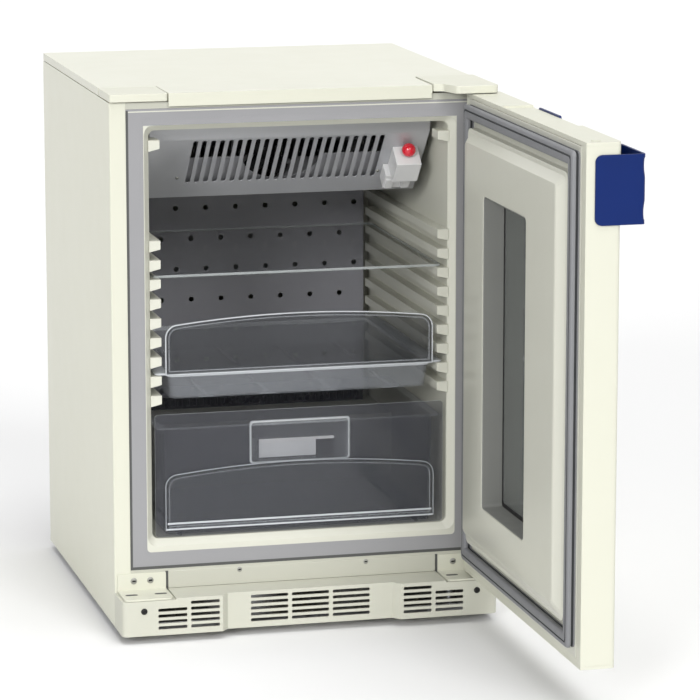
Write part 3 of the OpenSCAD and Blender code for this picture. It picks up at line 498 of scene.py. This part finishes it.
def screw_head(parts, centre, outward, radius, height, kind, turn=0.0):
    """A domed head with a cross or slot cut into it, the cut painted dark as shade; the kind dark is painted dark
    all over, as shade.
    """
    out = Vector(outward).normalized()
    side = Vector((0, 0, 1)).cross(out).normalized()
    place = Matrix((side, out.cross(side), out)).transposed().to_4x4()
    place.translation = Vector(centre)
    place = place @ Matrix.Rotation(turn, 4, "Z")
    n = 24
    profile = [(radius * 0.98, 0.0), (radius, height * 0.25), (radius * 0.93, height * 0.62),
               (radius * 0.78, height * 0.9), (radius * 0.66, height)]
    dome = [[(r * cos(2 * pi * i / n), r * sin(2 * pi * i / n), h) for i in range(n)] for r, h in profile]
    verts = [p for loop in dome for p in loop]
    faces = [[r * n + i, r * n + (i + 1) % n, (r + 1) * n + (i + 1) % n, (r + 1) * n + i]
             for r in range(len(dome) - 1) for i in range(n)]
    faces.append(list(range(n))[::-1])
    if kind == "cross":
        w, arm = radius * 0.13, radius * 0.52
        cut = [(arm, -w), (arm, w), (w, w), (w, arm), (-w, arm), (-w, w), (-arm, w), (-arm, -w),
               (-w, -w), (-w, -arm), (w, -arm), (w, -w)]
    else:
        w, arm = radius * 0.26, radius * 0.58
        cut = [(arm, -w), (arm, w), (-arm, w), (-arm, -w)]
    crown = [Vector((x, y, 0)) for x, y, _ in dome[-1]]
    mouth = [Vector((x, y, 0)) for x, y in cut]
    rim, lip, m = (len(dome) - 1) * n, len(verts), len(cut)
    floor_share, floor_height = 0.9, height * 0.25
    verts += [(x, y, height) for x, y in cut]
    verts += [(x * floor_share, y * floor_share, floor_height) for x, y in cut]
    for t in tessellate_polygon([crown, mouth]):
        faces.append([rim + i if i < n else lip + i - n for i in t])
    outside = len(faces)
    for i in range(m):
        j = (i + 1) % m
        faces.append([lip + i, lip + j, lip + m + j, lip + m + i])
    for t in tessellate_polygon([mouth]):
        faces.append([lip + m + i for i in t])
    # cut walls and floor, and the whole head of the kind dark, take the painted shade
    head = 1 if kind == "dark" else 0
    parts.add(verts, faces, [head] * outside + [1] * (len(faces) - outside), place)


COVER_TOP, COVER_LOW = Vector((0, -219, 756)), Vector((0, -122, 652))
COVER_DOWN = (COVER_LOW - COVER_TOP).normalized()
COVER_OUT = Vector((0, COVER_DOWN.z, -COVER_DOWN.y))


def screws():
    """Every screw that shows: brackets, rail cover, plinth, evaporator cover, rear panel and handle."""
    ahead, behind = (0, -1, 0), (0, 1, 0)
    front, plinth_y = node_box("front_frame")[0].y, node_box("plinth_grille")[0].y
    back = node_box("case_screws")[1].y
    bracket_z, rail_z, plinth_z, cover_drop = 84, 92, 51, 94
    parts = Parts()
    for k, x in enumerate((-268, -242, 242, 268)):
        screw_head(parts, (x, front - BRACKET_T, bracket_z), ahead, 5, 1.6, "slot", 0.05 * k)
    for k, x in enumerate((-101, 101)):
        screw_head(parts, (x, front - COVER_T, rail_z), ahead, 4, 0.9, "slot", 0.1 - 0.15 * k)
    for k, x in enumerate((-264, 264)):
        screw_head(parts, (x, plinth_y, plinth_z), ahead, 5, 2, "dark", 0.7 + k)
    for k, x in enumerate((-166, 155.5)):
        seat = COVER_TOP + COVER_DOWN * cover_drop + Vector((x, 0, 0)) + COVER_OUT * 0.02
        screw_head(parts, seat, COVER_OUT, 3, 1.9, "slot", k)
    for k, x in enumerate((-270, 0, 270)):
        for z in (240, 520, 800):
            screw_head(parts, (x, back - 1.2, z), behind, 4, 1.2, "cross", 0.4 * k + z)
    made = parts.build("case_screw_set", "cabinet", "zinc_steel", ["screw_paint", "screw_recess_shade"],
                       sharp=40)
    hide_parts("case_screws")
    lo, hi = shut_box("handle_screws")
    radius = 4.5
    parts = Parts()
    for z in (lo.z + radius, hi.z - radius):
        screw_head(parts, ((lo.x + hi.x) / 2, lo.y + 2, z), ahead, radius, 2, "cross", z)
    made = parts.build("handle_screw_set", "door", "zinc_steel", ["zinc_steel", "screw_recess_shade"], DOOR, 40)
    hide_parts("handle_screws")


# ---------- inside ----------


def front_trim():
    """Seal track: dark strips at its sides and foot, painted shade for the shadowed gaps round it, a strip over
    the chamber and a light line on top.
    """
    lo, hi = node_box("front_frame")
    gap, foot, strip, line = 3.6, 4.5, 9, 1.8
    mouth_x, mouth_z = 245.5, 797
    near, seat = lo.y - 0.3, lo.y + 0.1
    parts = Parts()
    for x0, x1 in ((lo.x, lo.x + gap), (hi.x - gap, hi.x)):
        parts.box((x0, near, lo.z), (x1, seat, hi.z - 2), 1)
    parts.box((lo.x + gap, near, lo.z), (hi.x - gap, seat, lo.z + foot), 1)
    parts.box((-mouth_x, near, mouth_z - strip), (mouth_x, seat, mouth_z + 0.5), 0)
    parts.box((lo.x + gap, near, hi.z - 5), (hi.x - gap, seat, hi.z - 5 + line), 2)
    parts.build("seal_track_trim", "cabinet", "frame_paint", ["frame_paint", "painted_gap_shade", "liner_plastic"])


def rail_cover():
    """Thin cover on the rail under the seal track, with a flat dark strip at each end, painted shade for the gap's
    shadow.
    """
    lo = node_box("front_frame")[0]
    y, half, gap_end, z0, z1, edge = lo.y, 213.5, 217.5, 69.4, lo.z - 4, 0.6
    cover = Parts()
    cover.loft([[(x, level, z) for x, z in rounded(-half + k, z0 + k, half - k, z1 - k, 2)]
                for level, k in ((y, 0), (y - COVER_T + edge, 0), (y - COVER_T, edge))])
    cover.build("rail_cover", "cabinet", "case_paint", ["rail_shaded_paint"])
    gap_shade_strips = Parts()
    for x0, x1 in ((-gap_end, -half), (half, gap_end)):
        gap_shade_strips.box((x0, y - 0.4, z0), (x1, y + 0.1, z1))
    gap_shade_strips.build("rail_gap_shade", "cabinet", "case_paint", ["painted_gap_shade"])


def bracket_rims():
    """Pressed oval rims on the flanges of the lower hinge brackets, with flat dark ovals in them painted as the
    shade inside the holes.
    """
    top = node_box("lower_hinge_bracket_left")[0].z + BRACKET_T
    section = [(10, 4.6, 0.05), (10, 4.6, 0.25), (10.8, 5.4, 0.35), (12.2, 6.8, 0.35), (13.2, 7.8, 0.2),
               (13.2, 7.8, 0.05)]
    parts = Parts()
    for x in (-HINGE.x, -232, 232):
        parts.loft([[(x + a, HINGE.y + b, top + up) for a, b in rounded(-w, -d, w, d, d)]
                    for w, d, up in section], closed=True)
        hole_shade = rounded(x - 9.6, HINGE.y - 4.2, x + 9.6, HINGE.y + 4.2, 4.2)
        parts.plate([hole_shade], xy, top + 0.05, top + 0.2, 1)
    parts.build("bracket_rims", "cabinet", "case_paint", ["case_paint", "painted_gap_shade"])


def glass_shelf():
    lo, hi = node_box("glass_shelf")
    e = 0.7
    loops = [[(x, y, z) for x, y in rounded(lo.x + k, lo.y + k, hi.x - k, hi.y - k, 6)]
             for z, k in ((lo.z, e), (lo.z + e, 0), (hi.z - e, 0), (hi.z, e))]
    parts = Parts()
    # the edge bands take the painted highlight finish
    parts.loft(loops, band_mats=[1] * 3)
    made = parts.build("glass_shelf_pane", "glass_shelf", "shelf_glass", ["shelf_glass", "shelf_edge_highlight"])
    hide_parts("glass_shelf")


def tray():
    """Thin moulded basin with a rolled lip, draft on its walls, floor ribs and an arched front."""
    lo, hi = node_box("upper_tray")
    face, front, back, floor = lo.y, lo.y + 3, hi.y, lo.z
    lip, half, rim = floor + 38, 208, hi.x
    wall, draft = 2.4, 5.0
    # the lip, the arch outlines and the floor ribs take the painted highlight finishes
    highlight, faint_highlight, tinted, walls = 1, 2, 3, 4
    parts = Parts()
    basin = [ring(half - draft, front + draft, back - draft, floor, 12),
             ring(half - 1.2, front + 1.6, back - 1.2, lip - 4, 9),
             ring(half, front + 0.2, back, lip - 3.2, 8), ring(half + 0.6, front, back, lip, 8),
             ring(rim - 0.8, front, back, lip + 0.2, 6),
             ring(rim, front, back, lip + 1.2, 6), ring(rim, front, back, lip + 2.4, 6),
             ring(rim - 0.8, front + 0.4, back - 0.4, lip + 3, 6),
             ring(half - 1.5, front + 2.6, back - 2.6, lip + 3, 7),
             ring(half - 3.2, front + 3.6, back - 3.6, lip - 2, 8),
             ring(half - draft - wall, front + draft + wall, back - draft - wall, floor + wall, 10)]
    parts.loft(basin, walls, band_mats=[walls] + [highlight] * 7 + [walls] * 2)

    def panel(inset=0.0, r=20):
        return arch(212, lip, hi.z - 11, 11, inset, r)
    outer, thin, inner = panel(), panel(1.6, 19), panel(5.0, 16)
    parts.plate([thin], xz, face + 1.0, face + 2.4, tinted)
    for mat, loops in ((highlight, ((thin, 0.3), (outer, 0.0), (outer, 3.0), (thin, 3.0))),
                       (faint_highlight, ((panel(6.6, 15), 0.9), (inner, 0.2), (inner, 0.9)))):
        parts.loft([[(x, face + y, z) for x, z in o] for o, y in loops], mat, closed=True)
    for x in (-146, -49, 49, 146):
        parts.box((x - 3.2, front + 12, floor + wall), (x + 3.2, back - 14, floor + 5), faint_highlight, 0.8)
        parts.box((x - 12, front + 8, floor), (x + 12, front + 10.5, floor + 1.6), faint_highlight, 0.4)
    made = parts.build("clear_tray", "upper_tray", "clear_plastic",
                       ["clear_plastic", "edge_highlight", "faint_edge_highlight", "arch_plastic",
                        "basin_plastic"], sharp=38)
    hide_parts("upper_tray")


GRIP_HALF, GRIP_Z0, GRIP_Z1 = 78, 257, 320
CUP_DEPTH, CUP_TAPER = 26, 17


def cup(face, depth, taper, grow=0.0, r=4):
    """Rim of the drawer's grip cup at a depth: its roof falls towards the back, its sides close in."""
    return [(x, face + depth, z) for x, z in rounded(
        -GRIP_HALF + taper - grow, GRIP_Z0 - grow, GRIP_HALF - taper + grow,
        GRIP_Z1 - taper * 1.9 + grow, r)]


def drawer():
    """Smoky bin with a see-through grip cup, side flanges and runners."""
    lo, hi = node_box("drawer_bin")
    face, back, foot, top = lo.y, hi.y, lo.z + 3, 317
    half, inner, wall, draft = 229, 214, 2.5, 3.0
    # the cup's edges, the side flanges and the runners take the painted highlight finishes
    smoke, highlight, faint_highlight = 0, 1, 2
    parts = Parts()
    mouth = rounded(-GRIP_HALF, GRIP_Z0, GRIP_HALF, GRIP_Z1, 5)
    parts.plate([rounded(-half, lo.z + 0.6, half, hi.z, 5), mouth], xz, face, face + 2.6, smoke, highlight)
    funnel = [(0.0, -0.6), (0.8, 1.0), (0.45 * CUP_TAPER, 12.0), (CUP_TAPER, CUP_DEPTH)]
    loops = [cup(face, y, k) for k, y in funnel]
    shell = [cup(face, y + 2.0, k, 2.2, 5) for k, y in funnel[::-1]]
    parts.loft(loops + shell, band_mats=[1, 2, 2, 0, 0, 0, 2, 1], closed=True)
    parts.plate([[(x, z) for x, _, z in cup(0, 0, CUP_TAPER + 0.2)]], xz, face + CUP_DEPTH,
                face + CUP_DEPTH + 1.8)
    start = face + 3
    parts.loft([ring(inner - draft, start + draft, back - draft, foot, 10),
                ring(inner, start, back, top - 3, 7),
                ring(inner + 11, start, back, top - 2.6, 6), ring(inner + 12, start, back, top, 6),
                ring(inner - wall, start + wall, back - wall, top, 6),
                ring(inner - draft - wall, start + draft + wall, back - draft - wall, foot + wall, 8)],
               band_mats=[smoke, faint_highlight, faint_highlight, faint_highlight, smoke])
    for x in (-189, 189):
        parts.box((x - 3, face + 8, lo.z), (x + 3, back - 8, foot + 0.2), faint_highlight, 0.8)
    made = parts.build("drawer_box", "drawer", "smoke_plastic",
                       ["smoke_plastic", "edge_highlight", "faint_edge_highlight", "grey_plastic"], sharp=38)
    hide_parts("drawer_bin")


def label_card():
    """Card and its holder strip at the back of the grip cup."""
    back = node_box("drawer_bin")[0].y + CUP_DEPTH - 0.4
    side, top = -GRIP_HALF + 18, GRIP_Z1 - CUP_TAPER * 1.9
    parts = Parts()
    parts.plate([rounded(side, GRIP_Z0 + 1, 31, top - 5, 1)], xz, back - 1, back)
    parts.plate([rounded(side, top - 4.6, -side, top - 0.4, 1)], xz, back - 2.2, back, 1)
    parts.build("label_card", "drawer", "smoke_plastic", ["card", "card_strip"])


def front_rail():
    """Clear arched rail across the drawer's foot, with two moulded lines painted bright as highlights."""
    lo, hi = node_box("drawer_front_rail")
    face = lo.y
    clear, highlight, faint_highlight, rim = 0, 1, 2, 4

    def panel(inset=0.0, r=20):
        return arch(214, lo.z, hi.z - 12, 12, inset, r)
    outer, thin, inner = panel(), panel(1.1, 19), panel(5.5, 16)
    parts = Parts()
    parts.plate([thin], xz, face + 0.8, face + 2.0, clear)
    for mat, loops in ((rim, ((thin, 0.2), (outer, 0.0), (outer, 2.5), (thin, 2.5))),
                       (faint_highlight, ((panel(7.0, 15), 0.8), (inner, 0.1), (inner, 0.8)))):
        parts.loft([[(x, face + y, z) for x, z in o] for o, y in loops], mat, closed=True)
    parts.box((-213, face - 0.1, lo.z + 0.2), (213, face + 0.9, lo.z + 2.6), highlight, 0.4)
    parts.box((-211, face + 0.2, lo.z + 9), (211, face + 1.2, lo.z + 12), highlight, 0.4)
    parts.box((-214, face + 2.4, lo.z), (214, hi.y, lo.z + 4), faint_highlight, 0.5)
    made = parts.build("clear_front_rail", "drawer", "clear_plastic",
                       ["clear_plastic", "edge_highlight", "faint_edge_highlight", "arch_plastic", "rim_highlight"], sharp=38)
    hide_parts("drawer_front_rail")


def fan(name, node, joint, slot, blades, hub_share):
    """A rotor with twisted, swept blades on a domed hub."""
    lo, hi = node_box(node)
    spin = JOINTS[joint]
    axis = Vector(spin["axis"])
    centre = Vector(spin["pos_m"]) / MM
    depth = max(h - l for l, h, a in zip(lo, hi, axis) if abs(a) > 0.5)
    reach = max(h - l for l, h, a in zip(lo, hi, axis) if abs(a) < 0.5) / 2
    place = axis.to_track_quat("Z", "Y").to_matrix().to_4x4()
    place.translation = centre
    hub, bore = reach * hub_share, 2.2
    root, flank, steps = hub * 0.94, depth * 0.36, 8
    section = ((-0.5, 0.15), (-0.25, 0.8), (0.1, 1.0), (0.5, 0.2), (0.5, -0.2), (0.1, -0.5),
               (-0.25, -0.4), (-0.5, -0.15))
    parts = Parts()
    parts.lathe([(bore, -depth / 2), (hub * 0.8, -depth / 2), (hub, -flank), (hub, flank),
                 (hub * 0.8, depth / 2), (bore, depth / 2)], 32, place)
    for b in range(blades):
        loops = []
        for i in range(steps + 1):
            t = i / steps
            r = root + (reach - root) * t
            sweep = 2 * pi * b / blades + 0.35 * t
            chord = (0.62 - 0.10 * t) * 2 * pi * (hub + (reach - hub) * 0.45) / blades
            pitch = radians(38 - 16 * t)
            loop = []
            for c, thick in section:
                along, lift = c * chord, thick * 0.9 + 1.2 * (0.25 - c * c)
                across = along * cos(pitch) - lift * sin(pitch)
                z = along * sin(pitch) + lift * cos(pitch)
                z = max(-depth / 2 + 0.3, min(depth / 2 - 0.3, z))
                turn = sweep + across / max(r, 1.0)
                loop.append((r * cos(turn), r * sin(turn), z))
            loops.append(loop)
        parts.loft(loops, where=place)
    made = parts.build(name, node, slot, sharp=40)
    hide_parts(node)


def machine_bay():
    """Return bends of the condenser, and the compressor's seam."""
    rear = node_box("condenser_coil")[1].y
    tube_r, sides, steps, bulge = 3.8, 12, 8, 6
    parts = Parts()
    for x in (103, 125):
        for z0, z1 in ((40, 70), (100, 130), (160, 184)):
            mid, r = (z0 + z1) / 2, (z1 - z0) / 2
            loops = []
            for i in range(steps + 1):
                a = pi * i / steps
                cy, cz = rear - 1 + bulge * sin(a), mid - r * cos(a)
                t = Vector((0, bulge * cos(a), r * sin(a))).normalized()
                n = Vector((0, -t.z, t.y))
                loops.append([(x + tube_r * cos(q), cy + tube_r * sin(q) * n.y, cz + tube_r * sin(q) * n.z)
                              for q in (2 * pi * k / sides for k in range(sides))])
            parts.loft(loops)
    parts.build("condenser_bends", "cabinet", "copper", sharp=50)
    compressor = Matrix.Translation((-115, 192, 0))
    parts = Parts()
    parts.lathe([(75.2, 106.5), (79, 107), (79.6, 109), (79, 111), (75.2, 111.5)], 48, compressor)
    parts.build("compressor_seam", "cabinet", "compressor_paint")


def slot_baffle():
    """Sheet just behind the lower half of the cover's slots, cut out in an arc before the fan."""
    place = Matrix((Vector((1, 0, 0)), COVER_DOWN, COVER_OUT)).transposed().to_4x4()
    place.translation = COVER_TOP - COVER_OUT * 13
    half, start, end, r, centre = 196, 62, 132, 66, 52
    rise = start - centre
    first = degrees(atan2(rise, sqrt(r * r - rise * rise)))
    cut = arc(0, centre, r, 180 - first, first, 24)
    outline = [(-half, end), (-half, start)] + cut + [(half, start), (half, end)]
    parts = Parts()
    parts.plate([outline], xy, -0.6, 0.6, where=place)
    # the baffle's grey is painted light seen behind the slots
    parts.build("slot_baffle", "cabinet", "cover_sheet", ["baffle_painted_light"])


def return_filter():
    """Dark pleated filter behind the slots of the return-air grille."""
    lo, hi = node_box("return_air_grille")
    pleat, depth, count = 6.0, 3.0, int((hi.x - lo.x - 4) / 6)
    zig = [(lo.x + 2 + i * pleat, hi.y + 0.3 + (depth if i % 2 else 0)) for i in range(count + 1)]
    outline = zig + [(x, y + 1.2) for x, y in zig[::-1]]
    parts = Parts()
    parts.loft([[(x, y, z) for x, y in outline] for z in (lo.z + 0.5, hi.z - 0.5)])
    parts.build("return_filter", "cabinet", "black_plastic", sharp=20)


gasket()
handle()
window()
display()
screws()
glass_shelf()
tray()
drawer()
label_card()
front_rail()
return_filter()
slot_baffle()
front_trim()
rail_cover()
bracket_rims()
fan("evaporator_rotor", "evaporator_fan", "evaporator_fan_spin", "black_plastic", 5, 0.36)
fan("condenser_rotor", "condenser_fan", "condenser_fan_spin", "fin_aluminium", 5, 0.30)
machine_bay()

# ---------- room, lights and camera ----------

REACH = 40000
ground = Parts()
ground.loft([[(x, y, z) for x, y in rounded(-REACH, -REACH, REACH, REACH, 100, 2)] for z in (-30, -0.2)])
mesh_object("studio_floor", ground.verts, ground.faces, ["floor_paper"])

world = bpy.data.worlds.new("studio")
bpy.context.scene.world = world
world.use_nodes = True
sky = world.node_tree
AMBIENT, BACKDROP = 0.36, 0.95


def ramp_of(socket, start, end):
    """A value that rises from 0 to 1 while the given socket goes from start to end."""
    rise = sky.nodes.new("ShaderNodeMapRange")
    rise.interpolation_type = "SMOOTHSTEP"
    rise.inputs["From Min"].default_value, rise.inputs["From Max"].default_value = start, end
    sky.links.new(socket, rise.inputs["Value"])
    return rise.outputs["Result"]


direction = sky.nodes.new("ShaderNodeSeparateXYZ")
sky.links.new(sky.nodes.new("ShaderNodeTexCoord").outputs["Generated"], direction.inputs["Vector"])
panel = sky.nodes.new("ShaderNodeMath")
panel.operation = "MULTIPLY"
sky.links.new(ramp_of(direction.outputs["Y"], 0.3, 0.8), panel.inputs[0])
sky.links.new(ramp_of(direction.outputs["Z"], 0.55, 0.25), panel.inputs[1])
level = sky.nodes.new("ShaderNodeMath")
level.operation = "MULTIPLY_ADD"
level.inputs[1].default_value, level.inputs[2].default_value = BACKDROP, AMBIENT
sky.links.new(panel.outputs["Value"], level.inputs[0])
sky.nodes["Background"].inputs["Color"].default_value = (1, 1, 1, 1)
sky.links.new(level.outputs["Value"], sky.nodes["Background"].inputs["Strength"])


def sun(name, toward, strength, degrees):
    """A distant light that shines from the direction toward."""
    lamp = bpy.data.lights.new(name, "SUN")
    lamp.energy = strength
    lamp.angle = radians(degrees)
    made = bpy.data.objects.new(name, lamp)
    made.rotation_euler = Vector(toward).to_track_quat("Z", "Y").to_euler()
    bpy.context.scene.collection.objects.link(made)


sun("key", (1.2, -6, 3.4), 1.45, 30)
sun("side_fill", (-4.5, -6, 2.4), 1.5, 16)
sun("overhead", (0.3, -0.4, 3), 1.9, 50)

camera = bpy.data.objects.new("camera", bpy.data.cameras.new("camera"))
bpy.context.scene.collection.objects.link(camera)
camera.location = (-1.3248, -5.768, 1.5206)
TILT_DOWN, TURN_RIGHT = 10.925, 14.345
camera.rotation_euler = (radians(90 - TILT_DOWN), 0, radians(-TURN_RIGHT))
camera.data.sensor_width = 36
camera.data.lens = 191.8
camera.data.clip_end = 200
bpy.context.scene.camera = camera
bpy.context.scene.view_settings.view_transform = "Standard"
bpy.context.scene.cycles.transparent_max_bounces = 32
